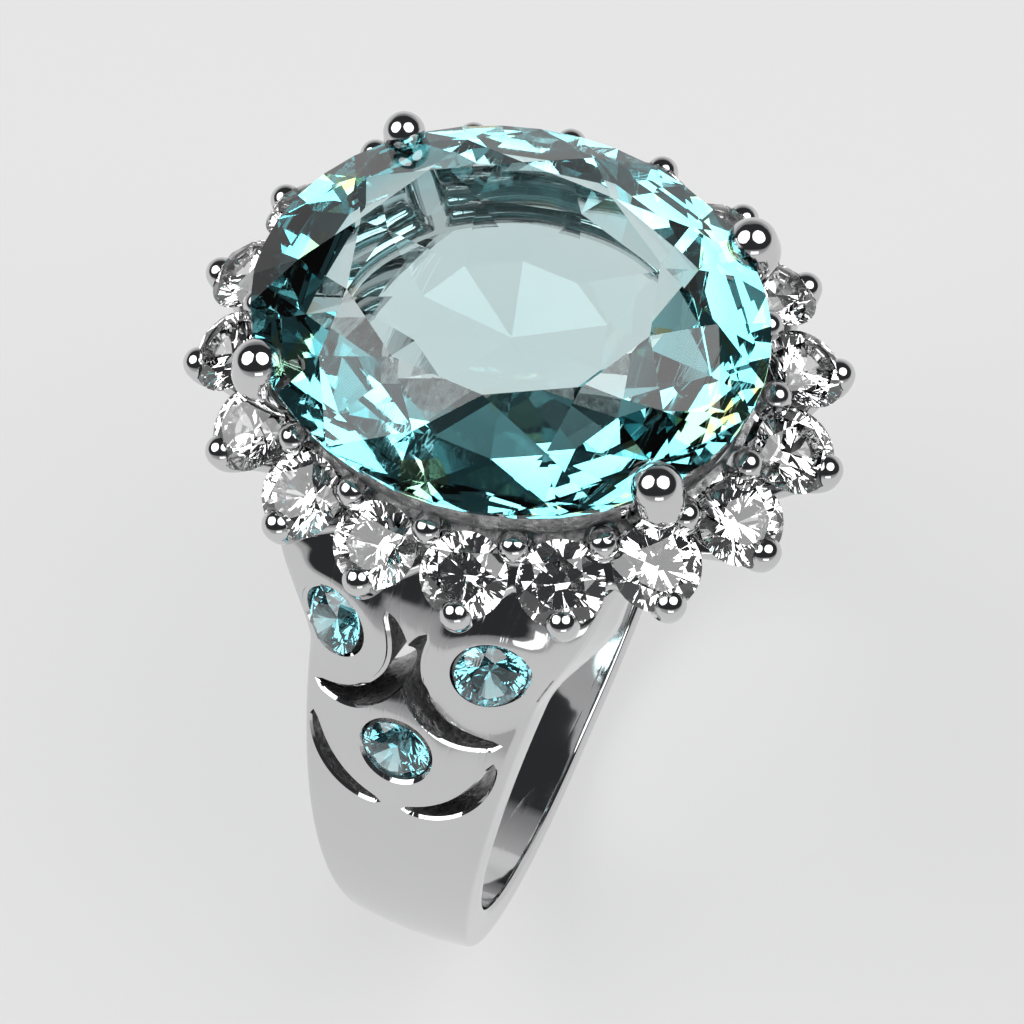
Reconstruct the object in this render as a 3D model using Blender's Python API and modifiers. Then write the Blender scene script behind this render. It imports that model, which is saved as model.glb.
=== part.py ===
"""Cocktail ring: a claw-set oval centre stone in a halo of eighteen round stones, on a band with
pierced shoulders that hold three small round stones each.

Frame: the origin is the centre of the finger hole, +X runs along the finger and along the long
axis of the oval, +Z points up through the centre stone. Everything is in metres.
"""
import math

import bmesh
import bpy
from mathutils import Matrix, Vector

MM = 0.001
GAP = 0.03 * MM               # clearance between a stone or a joined piece and its neighbour

# Band: an angle of 0 is the bottom of the ring and 180 is under the centre stone
FINGER_RADIUS = 8.53 * MM
BAND_WALL_BOTTOM = 0.85 * MM
BAND_WALL_RISE = 0.65 * MM    # added to the wall, at its rims, up to the shoulder angle
BAND_HALF_WIDTH = 0.82 * MM
BAND_FLARE = 1.79 * MM        # added to the half width up to the shoulder angle
BAND_FLARE_POWER = 1.6
SHOULDER_ANGLE = 130.0
SHOULDER_CROWN = 1.55 * MM    # how far the middle of a shoulder stands above its rims
CROWN_START_ANGLE = 85.0
CROWN_POWER = 3.0
HEEL_START_ANGLE = 139.0      # from here the shoulder sweeps up and out to meet the halo
HEEL_RISE = 1.35 * MM
HEEL_FLARE = 0.75 * MM
SHOULDER_END_ANGLE = 155.0
BRIDGE_ANGLE = 163.0
BRIDGE_WALL = 0.75 * MM       # the plain arch under the head
LIGHT_HOLE_LONG = 3.20 * MM   # half sizes of the open oval in the arch, along X and along Y
LIGHT_HOLE_WIDE = 4.60 * MM
SOFT_CROWN = 0.12 * MM        # the slight rounding that the whole band has across its width
HEEL_FLATTENING = 0.75        # how much of the shoulder's crown the heel takes away
RIM_CHAMFER = 0.16 * MM
BAND_SECTIONS = 84

# Centre stone
OVAL = 1.2                    # length over width of the stone and of every oval around it
CENTRE_HALF_WIDTH = 5.0 * MM
CENTRE_GIRDLE_Z = 13.82 * MM
CENTRE_CROWN = 1.55 * MM
CENTRE_PAVILION = 3.05 * MM
CENTRE_TABLE = 0.60
# Each tier of the pavilion: share of the half width, depth, and the turn of its eight corners
CENTRE_TIERS = ((0.84, 1.05 * MM, 0.5), (0.66, 2.05 * MM, 0.0), (0.38, 2.66 * MM, 0.5))

# Head of the centre stone
CLAW_ANGLES = {(-1, -1): 41.0, (1, -1): 38.0, (1, 1): 42.0, (-1, 1): 46.0}
CLAW_ROOT_RADIUS = 0.42 * MM
CLAW_TIP_RADIUS = 0.58 * MM
COLLAR_HALF_WIDTH = 4.72 * MM
COLLAR_WALL = 0.75 * MM
COLLAR_LOW_Z = 12.35 * MM
COLLAR_HIGH_Z = 13.30 * MM
FOOT_RAIL_HALF_WIDTH = 3.45 * MM
FOOT_RAIL_RADIUS = 0.38 * MM
FOOT_RAIL_Z = 9.95 * MM

# Halo
HALO_COUNT = 18
HALO_LONG = 6.85 * MM
HALO_SHORT = 5.60 * MM
HALO_Z = 11.85 * MM
HALO_SLOPE = math.radians(30.0)
HALO_STONE_RADIUS = 1.00 * MM
CUP_INNER = -1.28 * MM        # the cup plate's section, outward and upward of the stones' girdles
CUP_TOP = -0.34 * MM
CUP_NOTCH = 0.28 * MM         # reach of the plate's outer edge between two cups
CUP_POINT = 0.62 * MM         # added to that reach at a cup's point
CUP_POINT_POWER = 1.25
CUP_DEPTH = 0.92 * MM
CUP_DEPTH_SWING = 0.18 * MM
OUTER_CLAW_ROOT = 0.42 * MM
OUTER_CLAW_RADIUS = 0.40 * MM
INNER_CLAW_RADIUS = 0.32 * MM
SECTIONS_PER_CUP = 4
SEAT_SIDES = 12

# Shoulder stones, and the proportions of every round stone as shares of its radius
SHOULDER_STONE_RADIUS = 0.84 * MM
UPPER_STONE_ANGLE = 144.6
LOWER_STONE_ANGLE = 130.0
UPPER_STONE_LEAN = 0.43       # radians that the two upper stones lean away from each other
STONE_PITCH = 18.0            # degrees that the stones lean back from the band's own slope
ROUND_CROWN = 0.31
ROUND_PAVILION = 0.86
ROUND_TABLE = 0.57
ROUND_KEEL = 0.24


def clear_scene():
    """Remove whatever is in the file, and make the two collections."""
    for item in list(bpy.data.objects):
        bpy.data.objects.remove(item, do_unlink=True)
    collections = []
    for name in ("cocktail_ring", "cutters"):
        collection = bpy.data.collections.new(name)
        bpy.context.scene.collection.children.link(collection)
        collections.append(collection)
    return collections


PARTS, CUTTERS = clear_scene()


def finish_material(name, colour, roughness, metallic, transmission=0.0):
    material = bpy.data.materials.new(name)
    material.use_nodes = True
    shader = material.node_tree.nodes["Principled BSDF"]
    shader.inputs["Base Color"].default_value = (*colour, 1.0)
    shader.inputs["Roughness"].default_value = roughness
    shader.inputs["Metallic"].default_value = metallic
    shader.inputs["Transmission Weight"].default_value = transmission
    return material


SILVER = finish_material("polished_silver", (0.86, 0.86, 0.87), 0.10, 1.0)
BLUE_STONE = finish_material("pale_blue_stone", (0.45, 0.80, 0.82), 0.02, 0.0, 0.9)
WHITE_STONE = finish_material("white_stone", (0.95, 0.95, 0.96), 0.02, 0.0, 0.9)


# ---------------------------------------------------------------- small helpers

def object_from_bmesh(name, bm, collection=CUTTERS, material=None):
    """Turn a bmesh into an object with its faces pointing out."""
    bmesh.ops.recalc_face_normals(bm, faces=bm.faces)
    mesh = bpy.data.meshes.new(name)
    bm.to_mesh(mesh)
    bm.free()
    item = bpy.data.objects.new(name, mesh)
    collection.objects.link(item)
    if collection is CUTTERS:
        item.hide_render = True
        item.display_type = "WIRE"
    if material:
        mesh.materials.append(material)
        mesh.shade_smooth()
        mesh.set_sharp_from_angle(angle=math.radians(35.0))
    return item


def mesh_now(item):
    """The object's mesh as the viewport shows it, in world space."""
    bpy.context.view_layer.update()
    graph = bpy.context.evaluated_depsgraph_get()
    mesh = bpy.data.meshes.new_from_object(item.evaluated_get(graph))
    mesh.transform(item.matrix_world)
    return mesh


def join(name, items):
    """Put several closed bodies into one cutter, and remove the separate ones."""
    bm = bmesh.new()
    for item in items:
        mesh = mesh_now(item)
        bm.from_mesh(mesh)
        bpy.data.meshes.remove(mesh)
        bpy.data.objects.remove(item, do_unlink=True)
    return object_from_bmesh(name, bm)


def cut(item, cutter, operation="DIFFERENCE"):
    """Apply a boolean to an object's mesh.

    The bodies are closed and very small, and only the manifold solver keeps them closed.
    """
    modifier = item.modifiers.new(cutter.name, "BOOLEAN")
    modifier.solver = "MANIFOLD"
    modifier.object = cutter
    modifier.operation = operation
    mesh = mesh_now(item)
    item.modifiers.remove(modifier)
    item.data = mesh


def finish(item, name, material):
    """Move a finished body to the ring's own collection under its own name."""
    CUTTERS.objects.unlink(item)
    PARTS.objects.link(item)
    item.name = name
    item.data.name = name
    item.hide_render = False
    item.display_type = "TEXTURED"
    item.data.materials.clear()
    item.data.materials.append(material)
    item.data.shade_smooth()
    item.data.set_sharp_from_angle(angle=math.radians(35.0))
    return item


def closed_loft(name, sections):
    """Skin a closed chain of closed sections, each a list of points, into a ring-shaped body."""
    bm = bmesh.new()
    rings = [[bm.verts.new(point) for point in section] for section in sections]
    count = len(rings[0])
    for here, there in zip(rings, rings[1:] + rings[:1]):
        for k in range(count):
            after = (k + 1) % count
            bm.faces.new((here[k], here[after], there[after], there[k]))
    return object_from_bmesh(name, bm)


def wire(name, points, radii, sides=8):
    """A closed rod along points, with its own radius at each one."""
    curve = bpy.data.curves.new(name, "CURVE")
    curve.dimensions = "3D"
    curve.bevel_depth = 1.0
    curve.bevel_resolution = (sides - 4) // 2
    curve.use_fill_caps = True
    spline = curve.splines.new("POLY")
    spline.points.add(len(points) - 1)
    for target, point, radius in zip(spline.points, points, radii):
        target.co = (*point, 1.0)
        target.radius = radius
    item = bpy.data.objects.new(name, curve)
    CUTTERS.objects.link(item)
    mesh = mesh_now(item)
    bpy.data.objects.remove(item, do_unlink=True)
    bm = bmesh.new()
    bm.from_mesh(mesh)
    bmesh.ops.remove_doubles(bm, verts=bm.verts, dist=1e-7)
    return object_from_bmesh(name, bm)


def domed_rod(name, path, radius, tip_radius, sides=8, dome_steps=3):
    """A rod that swells from radius to tip_radius along its path and ends in a round dome."""
    points = [Vector(point) for point in path]
    count = len(points)
    radii = [radius + (tip_radius - radius) * k / (count - 1) for k in range(count)]
    way = (points[-1] - points[-2]).normalized()
    top = points[-1].copy()
    for k in range(1, dome_steps + 1):
        angle = math.radians(78.0) * k / dome_steps
        points.append(top + way * tip_radius * math.sin(angle))
        radii.append(tip_radius * math.cos(angle))
    return wire(name, points, radii, sides)


def frame_matrix(place, facing, along=Vector((1.0, 0.0, 0.0))):
    """A frame at place whose Z axis is facing and whose X axis is as near along as it can be."""
    z_axis = Vector(facing).normalized()
    y_axis = z_axis.cross(Vector(along)).normalized()
    x_axis = y_axis.cross(z_axis)
    matrix = Matrix((x_axis, y_axis, z_axis)).transposed().to_4x4()
    matrix.translation = place
    return matrix


# ---------------------------------------------------------------- stones

def brilliant(name, half_width, crown, pavilion, table, tiers, matrix, oval=1.0, girdle=0.04,
              sides=16, grow=0.0):
    """A brilliant-cut stone: table, kite and star facets, girdle, tiered pavilion and culet.

    The facet corners are worked out from the proportions, and their hull is the stone.
    """
    swell = 1.0 + grow / half_width
    half_girdle = girdle * half_width / 2.0
    points = []

    def ring(count, radius, height, turn=0.0):
        for k in range(count):
            angle = 2.0 * math.pi * (k + turn) / count
            points.append(Vector((oval * radius * math.cos(angle), radius * math.sin(angle), height)))

    ring(8, table * half_width, crown + half_girdle)
    kite = 0.5 * (1.0 + table) * half_width
    kite_drop = (half_width - kite * math.cos(math.pi / 8.0)) / (half_width * (1.0 - table))
    ring(8, kite, crown * kite_drop + half_girdle, 0.5)
    ring(sides, half_width, half_girdle)
    ring(sides, half_width, -half_girdle)
    for share, depth, turn in tiers:
        ring(8, share * half_width, -half_girdle - depth, turn)
    points.append(Vector((0.0, 0.0, -half_girdle - pavilion)))
    bm = bmesh.new()
    for point in points:
        bm.verts.new(matrix @ (point * swell))
    hull = bmesh.ops.convex_hull(bm, input=bm.verts)
    bmesh.ops.delete(bm, geom=list(set(hull["geom_unused"] + hull["geom_interior"])), context="VERTS")
    return object_from_bmesh(name, bm)


def centre_stone(name, grow=0.0):
    place = Matrix.Translation((0.0, 0.0, CENTRE_GIRDLE_Z))
    return brilliant(name, CENTRE_HALF_WIDTH, CENTRE_CROWN, CENTRE_PAVILION, CENTRE_TABLE,
                     CENTRE_TIERS, place, oval=OVAL, girdle=0.03, sides=32, grow=grow)


def round_stone(name, half_width, matrix):
    pavilion = ROUND_PAVILION * half_width
    keel_depth = pavilion * (1.0 - ROUND_KEEL * math.cos(math.pi / 8.0))
    tiers = ((ROUND_KEEL, keel_depth, 0.5),)
    return brilliant(name, half_width, ROUND_CROWN * half_width, pavilion, ROUND_TABLE, tiers,
                     matrix)


# ---------------------------------------------------------------- halo layout

def equal_arc_angles(count, offset):
    """Angles round the halo's oval that split its length into equal arcs."""
    steps = 3600
    lengths = [0.0]
    for k in range(steps):
        angle = 2.0 * math.pi * (k + 0.5) / steps
        rate = math.hypot(HALO_LONG * math.sin(angle), HALO_SHORT * math.cos(angle))
        lengths.append(lengths[-1] + rate)
    angles = []
    for k in range(count):
        wanted = lengths[-1] * ((k + offset) % count) / count
        low = max(i for i, length in enumerate(lengths) if length <= wanted)
        part = (wanted - lengths[low]) / (lengths[min(low + 1, steps)] - lengths[low] or 1.0)
        angles.append(2.0 * math.pi * (low + part) / steps)
    return angles


def halo_frame_at(angle):
    """Place, outward slope and upward normal of the halo's sloping face at an angle."""
    place = Vector((HALO_LONG * math.cos(angle), HALO_SHORT * math.sin(angle), HALO_Z))
    outward = Vector((math.cos(angle) / HALO_LONG, math.sin(angle) / HALO_SHORT, 0.0)).normalized()
    up = Vector((0.0, 0.0, 1.0))
    slope = outward * math.cos(HALO_SLOPE) - up * math.sin(HALO_SLOPE)
    normal = outward * math.sin(HALO_SLOPE) + up * math.cos(HALO_SLOPE)
    return place, slope, normal


def halo_matrix(angle):
    place, slope, normal = halo_frame_at(angle)
    return frame_matrix(place, normal, slope)


def halo_cup_plate(grow=0.0):
    """The sloping oval plate: a scalloped outer edge with one pointed cup under each stone."""
    count = HALO_COUNT * SECTIONS_PER_CUP
    sections = []
    for k, angle in enumerate(equal_arc_angles(count, 0.0)):
        place, slope, normal = halo_frame_at(angle)
        phase = math.cos(math.pi * k / SECTIONS_PER_CUP) * 0.5 + 0.5
        tip = CUP_NOTCH + CUP_POINT * phase ** CUP_POINT_POWER + grow
        inner = CUP_INNER - grow
        top = CUP_TOP + grow
        low = -CUP_DEPTH - CUP_DEPTH_SWING * phase - grow
        outline = ((inner, top), (-0.45 * MM, top), (tip, top), (tip + 0.03 * MM, top - 0.28 * MM),
                   (tip - 0.35 * MM, low + 0.08 * MM), (-0.75 * MM, low), (inner, low + 0.30 * MM))
        sections.append([place + slope * out + normal * high for out, high in outline])
    return closed_loft("cup_plate", sections)


def outer_claw(angle):
    """The finger that runs out under a halo stone and bends up over its outermost edge."""
    place, slope, normal = halo_frame_at(angle)
    path = ((0.25, -0.72), (0.70, -0.62), (0.94, -0.32), (0.85, 0.08))
    points = [place + slope * out * MM + normal * high * MM for out, high in path]
    return domed_rod("outer_claw", points, OUTER_CLAW_ROOT, OUTER_CLAW_RADIUS, dome_steps=2)


def inner_claw(angle):
    """The short round-topped peg shared by two neighbouring halo stones on their inner side."""
    place, slope, normal = halo_frame_at(angle)
    points = [place - slope * 0.82 * MM + normal * high * MM for high in (-0.60, -0.10, 0.06)]
    return domed_rod("inner_claw", points, INNER_CLAW_RADIUS, INNER_CLAW_RADIUS, 6, 2)


# ---------------------------------------------------------------- head of the centre stone

def oval_ring(name, profile, grow=0.0):
    """A closed profile of (half width, height) points turned about Z and stretched to the oval."""
    bm = bmesh.new()
    corners = [bm.verts.new((half, 0.0, height)) for half, height in profile]
    for here, there in zip(corners, corners[1:] + corners[:1]):
        bm.edges.new((here, there))
    item = object_from_bmesh(name, bm)
    screw = item.modifiers.new("turn", "SCREW")
    screw.steps = 40
    screw.render_steps = 40
    screw.use_merge_vertices = True
    screw.merge_threshold = 1e-7
    mesh = mesh_now(item)
    bpy.data.objects.remove(item, do_unlink=True)
    mesh.transform(Matrix.Diagonal((OVAL, 1.0, 1.0, 1.0)))
    bm = bmesh.new()
    bm.from_mesh(mesh)
    bmesh.ops.remove_doubles(bm, verts=bm.verts, dist=1e-7)
    return object_from_bmesh(name, bm)


def box_profile(outer, wall, low, high):
    return ((outer, high), (outer, low), (outer - wall, low), (outer - wall, high))


def claw_path(x_sign, y_sign):
    """From the foot rail up outside the girdle and in over the crown of the centre stone."""
    half = CENTRE_HALF_WIDTH
    angle = math.radians(CLAW_ANGLES[(x_sign, y_sign)])
    foot = FOOT_RAIL_HALF_WIDTH / half
    steps = ((foot, FOOT_RAIL_Z), (0.80, 11.2 * MM), (0.925, 12.4 * MM), (0.995, 13.1 * MM),
             (1.035, 13.75 * MM), (1.020, 14.25 * MM))
    return [Vector((x_sign * OVAL * half * share * math.cos(angle),
                    y_sign * half * share * math.sin(angle), height)) for share, height in steps]


def head_body(name, grow=0.0):
    """Collar, foot rail and four claws, joined."""
    collar = box_profile(COLLAR_HALF_WIDTH + grow, COLLAR_WALL + 2.0 * grow, COLLAR_LOW_Z - grow,
                         COLLAR_HIGH_Z + grow)
    body = oval_ring(name, collar)
    radius = FOOT_RAIL_RADIUS + grow
    rail = [(FOOT_RAIL_HALF_WIDTH + radius * math.cos(-turn), FOOT_RAIL_Z + radius * math.sin(-turn))
            for turn in (2.0 * math.pi * k / 8 for k in range(8))]
    extras = [oval_ring("foot_rail", rail)]
    cut(body, extras[0], "UNION")
    bpy.data.objects.remove(extras[0], do_unlink=True)
    claws = []
    for x_sign in (-1, 1):
        for y_sign in (-1, 1):
            claws.append(domed_rod("claw", claw_path(x_sign, y_sign), CLAW_ROOT_RADIUS + grow,
                                   CLAW_TIP_RADIUS + grow))
    claws = join("claws", claws)
    cut(body, claws, "UNION")
    bpy.data.objects.remove(claws, do_unlink=True)
    return body


# ---------------------------------------------------------------- band

def smooth_step(low, high, value):
    t = min(1.0, max(0.0, (value - low) / (high - low)))
    return t * t * (3.0 - 2.0 * t)


def band_half_width(angle):
    share = min(angle, SHOULDER_END_ANGLE) / SHOULDER_ANGLE
    heel = smooth_step(HEEL_START_ANGLE, SHOULDER_END_ANGLE, angle)
    return BAND_HALF_WIDTH + BAND_FLARE * share ** BAND_FLARE_POWER + HEEL_FLARE * heel


def band_radius(angle, across):
    """Outer radius at an angle from the bottom and a share, -1 to 1, of the half width."""
    rim = BAND_WALL_BOTTOM + BAND_WALL_RISE * (angle / SHOULDER_ANGLE) ** 2
    rim += HEEL_RISE * smooth_step(HEEL_START_ANGLE, SHOULDER_END_ANGLE, angle)
    rise = max(0.0, min(angle, SHOULDER_END_ANGLE) - CROWN_START_ANGLE)
    crown = SHOULDER_CROWN * (rise / (SHOULDER_END_ANGLE - CROWN_START_ANGLE)) ** CROWN_POWER
    crown *= 1.0 - HEEL_FLATTENING * smooth_step(HEEL_START_ANGLE, SHOULDER_END_ANGLE, angle)
    crown += SOFT_CROWN
    wall = rim + crown * (1.0 - across * across)
    bridge = smooth_step(SHOULDER_END_ANGLE, BRIDGE_ANGLE, angle)
    return FINGER_RADIUS + wall * (1.0 - bridge) + BRIDGE_WALL * bridge


def band_point(angle, radius, along, side=-1.0):
    """A point of the band; side -1 is the front half of the ring and 1 the back half."""
    turn = math.radians(angle)
    return Vector((along, side * radius * math.sin(turn), -radius * math.cos(turn)))


def band():
    sections = []
    for k in range(BAND_SECTIONS):
        turn = 360.0 * k / BAND_SECTIONS
        side = -1.0 if turn < 180.0 else 1.0
        angle = turn if turn < 180.0 else 360.0 - turn
        half = band_half_width(angle)
        section = [band_point(angle, FINGER_RADIUS, x, side) for x in (half, 0.0, -half)]
        rim = band_radius(angle, 1.0)
        section.append(band_point(angle, rim - RIM_CHAMFER, -half, side))
        inset = 1.0 - RIM_CHAMFER / half
        for share in (-inset, -0.62, -0.32, 0.0, 0.32, 0.62, inset):
            section.append(band_point(angle, band_radius(angle, share), share * half, side))
        section.append(band_point(angle, rim - RIM_CHAMFER, half, side))
        sections.append(section)
    return closed_loft("shank", sections)


def shoulder_frames(side):
    """Name and frame of the girdle of each stone of one shoulder."""
    places = (("left", UPPER_STONE_ANGLE, -2.05, UPPER_STONE_LEAN),
              ("right", UPPER_STONE_ANGLE, 1.90, UPPER_STONE_LEAN),
              ("lower", LOWER_STONE_ANGLE, 0.0, 0.0))
    frames = []
    for word, angle, along, lean in places:
        share = along * MM / band_half_width(angle)
        radius = band_radius(angle, share) + 0.04 * MM
        place = band_point(angle, radius, along * MM, side)
        turn = math.radians(angle - STONE_PITCH)
        facing = Vector((math.copysign(math.sin(lean), along) if along else 0.0,
                         side * math.sin(turn) * math.cos(lean), -math.cos(turn) * math.cos(lean)))
        frames.append((word, frame_matrix(place, facing)))
    return frames


def light_hole():
    """The oval window through the arch, which lets light into the centre stone from below."""
    ends = [Vector((0.0, 0.0, FINGER_RADIUS * share)) for share in (0.5, 1.4)]
    item = wire("light_hole", ends, (LIGHT_HOLE_LONG, LIGHT_HOLE_LONG), 32)
    item.data.transform(Matrix.Diagonal((1.0, LIGHT_HOLE_WIDE / LIGHT_HOLE_LONG, 1.0, 1.0)))
    return item


def crescent(matrix, radii, width, start, end, depth=3.2 * MM):
    """A curved slot cutter about a stone: thin at both ends, its radius drifting along it."""
    steps = 10
    outline = []
    for share, flip in [(k / steps, 1.0) for k in range(steps + 1)] + \
                       [(k / steps, -1.0) for k in range(steps - 1, 0, -1)]:
        angle = math.radians(start + (end - start) * share)
        radius = radii[0] + (radii[1] - radii[0]) * share
        reach = radius + flip * 0.5 * width * math.sqrt(max(0.0, math.sin(math.pi * share)))
        outline.append((reach * math.cos(angle), reach * math.sin(angle)))
    bm = bmesh.new()
    floor = [bm.verts.new(matrix @ Vector((x, y, -depth))) for x, y in outline]
    roof = [bm.verts.new(matrix @ Vector((x, y, 1.2 * MM))) for x, y in outline]
    bm.faces.new(floor)
    bm.faces.new(list(reversed(roof)))
    for k in range(len(outline)):
        after = (k + 1) % len(outline)
        bm.faces.new((floor[k], floor[after], roof[after], roof[k]))
    return object_from_bmesh("crescent", bm)


def shoulder_cutters(side):
    """The pierced crescents of one shoulder: one under each upper stone, two under the lower."""
    frames = dict(shoulder_frames(side))
    mirror = 1.0 if side < 0 else -1.0
    slots = []
    arcs = (("left", (2.06, 1.66), 0.46, -100.0, 26.0), ("right", (1.70, 2.10), 0.46, 158.0, 280.0),
            ("lower", (1.92, 2.25), 0.40, -76.0, 0.0), ("lower", (2.30, 1.92), 0.40, 186.0, 256.0))
    for word, radii, width, start, end in arcs:
        radii = [radius * MM for radius in radii]
        slots.append(crescent(frames[word], radii, width * MM, mirror * start, mirror * end))
    return slots


# ---------------------------------------------------------------- build

def seat_cutter(matrix, half_width, depth, mouth):
    """The space a round stone needs: over its crown, round its girdle, and a hole below it.

    Above the crown it stays as wide as mouth, a share of the half width.
    """
    wide = (half_width + GAP) / math.cos(math.pi / SEAT_SIDES)
    hole = 0.42 * half_width
    steps = ((-depth, hole), (-0.55 * half_width, hole), (-0.05 * half_width, wide),
             (0.06 * half_width, wide), (0.42 * half_width, mouth * half_width))
    points = [matrix @ Vector((0.0, 0.0, height)) for height, radius in steps]
    return wire("seat", points, [radius for height, radius in steps], SEAT_SIDES)


def build():
    stone = centre_stone("centre_stone")
    seat = centre_stone("centre_seat", GAP)
    head = head_body("centre_head")
    cut(head, seat)

    halo_angles = equal_arc_angles(HALO_COUNT, 0.0)
    plate = halo_cup_plate()
    claws = join("halo_claws", [outer_claw(angle) for angle in halo_angles])
    cut(plate, claws, "UNION")
    pegs = join("halo_pegs", [inner_claw(angle) for angle in equal_arc_angles(HALO_COUNT, 0.5)])
    cut(plate, pegs, "UNION")
    seats = join("halo_seats", [seat_cutter(halo_matrix(angle), HALO_STONE_RADIUS, 1.6 * MM, 0.62)
                                for angle in halo_angles])
    cut(plate, seats)
    cut(head, seats)
    head_space = head_body("head_space", GAP)
    cut(plate, head_space)

    shank = band()
    cut(shank, head_space)
    halo_space = halo_cup_plate(GAP)
    cut(shank, halo_space)
    cut(shank, light_hole())
    for side, word in ((-1.0, "front"), (1.0, "back")):
        for place, matrix in shoulder_frames(side):
            cut(shank, seat_cutter(matrix, SHOULDER_STONE_RADIUS, 3.0 * MM, 1.10))
            name = f"shoulder_stone_{word}_{place}"
            gem = round_stone(name, SHOULDER_STONE_RADIUS, matrix)
            finish(gem, name, BLUE_STONE)
        for slot in shoulder_cutters(side):
            cut(shank, slot)

    finish(shank, "shank", SILVER)
    finish(head, "centre_head", SILVER)
    finish(plate, "halo_frame", SILVER)
    finish(stone, "centre_stone", BLUE_STONE)
    for k, angle in enumerate(halo_angles):
        name = f"halo_stone_{k + 1:02d}"
        finish(round_stone(name, HALO_STONE_RADIUS, halo_matrix(angle)), name, WHITE_STONE)


build()
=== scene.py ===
"""Cocktail ring, finished: cast and polished silver with a claw-set oval blue stone in a halo of
eighteen round white stones, and two pierced shoulders with three small blue stones each.

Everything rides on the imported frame. The origin is the centre of the finger hole, +X runs along
the finger and +Z points up through the centre stone. Bodies are modelled in millimetres and
turned into metres when they are finished.
"""
import math

import bmesh
import bpy
from mathutils import Matrix, Vector


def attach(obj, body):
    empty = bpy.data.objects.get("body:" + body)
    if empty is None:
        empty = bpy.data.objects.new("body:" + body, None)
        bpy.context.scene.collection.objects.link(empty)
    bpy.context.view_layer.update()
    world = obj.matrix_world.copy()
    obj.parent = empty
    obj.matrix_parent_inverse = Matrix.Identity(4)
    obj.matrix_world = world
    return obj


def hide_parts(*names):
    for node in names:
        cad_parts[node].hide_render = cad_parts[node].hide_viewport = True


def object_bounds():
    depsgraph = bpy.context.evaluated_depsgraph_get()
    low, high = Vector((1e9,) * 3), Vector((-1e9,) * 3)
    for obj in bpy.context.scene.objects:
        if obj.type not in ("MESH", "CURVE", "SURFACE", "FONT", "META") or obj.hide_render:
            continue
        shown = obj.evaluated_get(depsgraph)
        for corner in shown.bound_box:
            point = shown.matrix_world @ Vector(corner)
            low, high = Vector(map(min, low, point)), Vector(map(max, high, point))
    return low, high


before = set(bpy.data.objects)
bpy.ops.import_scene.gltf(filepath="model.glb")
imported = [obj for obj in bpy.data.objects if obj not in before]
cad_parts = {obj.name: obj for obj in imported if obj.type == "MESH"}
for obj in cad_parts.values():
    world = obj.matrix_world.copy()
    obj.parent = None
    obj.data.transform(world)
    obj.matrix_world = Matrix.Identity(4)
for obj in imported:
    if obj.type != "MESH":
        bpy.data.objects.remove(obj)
CAD_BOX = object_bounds()

bl_info = {
    "name": "Cocktail ring",
    "version": (1, 0, 0),
    "blender": (4, 5, 0),
    "location": "View3D > Sidebar > Ring",
    "description": "Builds a cocktail ring with a haloed oval stone and pierced shoulders",
    "category": "Add Mesh",
}

MM = 0.001
ROOT = "root"
UP = Vector((0.0, 0.0, 1.0))

# Band, in millimetres and degrees. An angle of 0 is the bottom and 180 is under the centre stone
WALL_BOTTOM = 0.85
WALL_RISE = 0.65
HALF_WIDTH = 0.82
FLARE = 1.79
FLARE_POWER = 1.6
SHOULDER_ANGLE = 130.0
SHOULDER_CROWN = 1.55
CROWN_START = 85.0
CROWN_POWER = 3.0
HEEL_START = 139.0
HEEL_RISE = 1.35
HEEL_FLARE = 0.75
HEEL_FLATTENING = 0.75        # the share of the crown that is gone at the heel
SHOULDER_END = 155.0
BRIDGE_ANGLE = 163.0
BRIDGE_WALL = 0.75
SOFT_CROWN = 0.12             # the rounding that the whole band has across its width
BROKEN_EDGE = 0.10            # radius of the band's four long edges
BAND_STEPS = 270              # along each half of the band
ACROSS_STEPS = 56
BORE_STEPS = 12               # across each half of the finger hole's wall
LIGHT_HOLE = (3.20, 4.60)
LIGHT_HOLE_REACH = (0.5, 1.4)   # from where to where it is cut, in finger radii

# Shoulder stones: name, angle on the band, place along the finger and outward lean in radians
SHOULDER_STONES = (("left", 144.6, -2.05, 0.43), ("right", 144.6, 1.90, 0.43),
                   ("lower", 130.0, 0.0, 0.0))
STONE_STAND = 0.04            # girdle above the shoulder's skin
STONE_TILT = 18.0             # how far the stones turn back from the skin towards the bottom
STONE_ROOM = 0.03             # clearance round each stone
PETALS = {"left": (1.0, 1.75), "right": (1.0, 1.75), "lower": (1.0, 2.1)}   # full until, gone at
PETAL_RISE = 0.14
PETAL_DEPTH = 2.0             # how far from the girdle's plane a petal is felt
SKIN_SEARCH = 1.6             # how far from the girdle's plane the skin is looked for

# Slots: stone, radii at both ends, width, and from what to what angle on the front shoulder
CRESCENTS = (("left", (2.06, 1.62), 0.50, -104.0, 32.0),
             ("right", (1.67, 2.14), 0.50, 158.0, 286.0),
             ("lower", (1.88, 2.28), 0.42, -80.0, 2.0),
             ("lower", (2.36, 1.90), 0.42, 185.0, 260.0))
SLOT_STEPS = 30
SLOT_END_DEPTH = 0.26         # depth of a slot's ends, as a share of its middle
SLOT_TAPER = 1.3
CUT_DEPTH = 3.2               # depth of seats and slots, through the wall
MOUTH_FLARE = 1.15            # how far a cutter opens past the skin, in bevel widths

# Where the band is left as it was cast and painted darker as shade: past this angle, this deep, and
# clear of the sides
CAST_SHADE_START = 100.0
CAST_SHADE_END = SHOULDER_END + 4.0
CAST_SHADE_LIMITS = (0.12, 0.10, 0.02)

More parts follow.
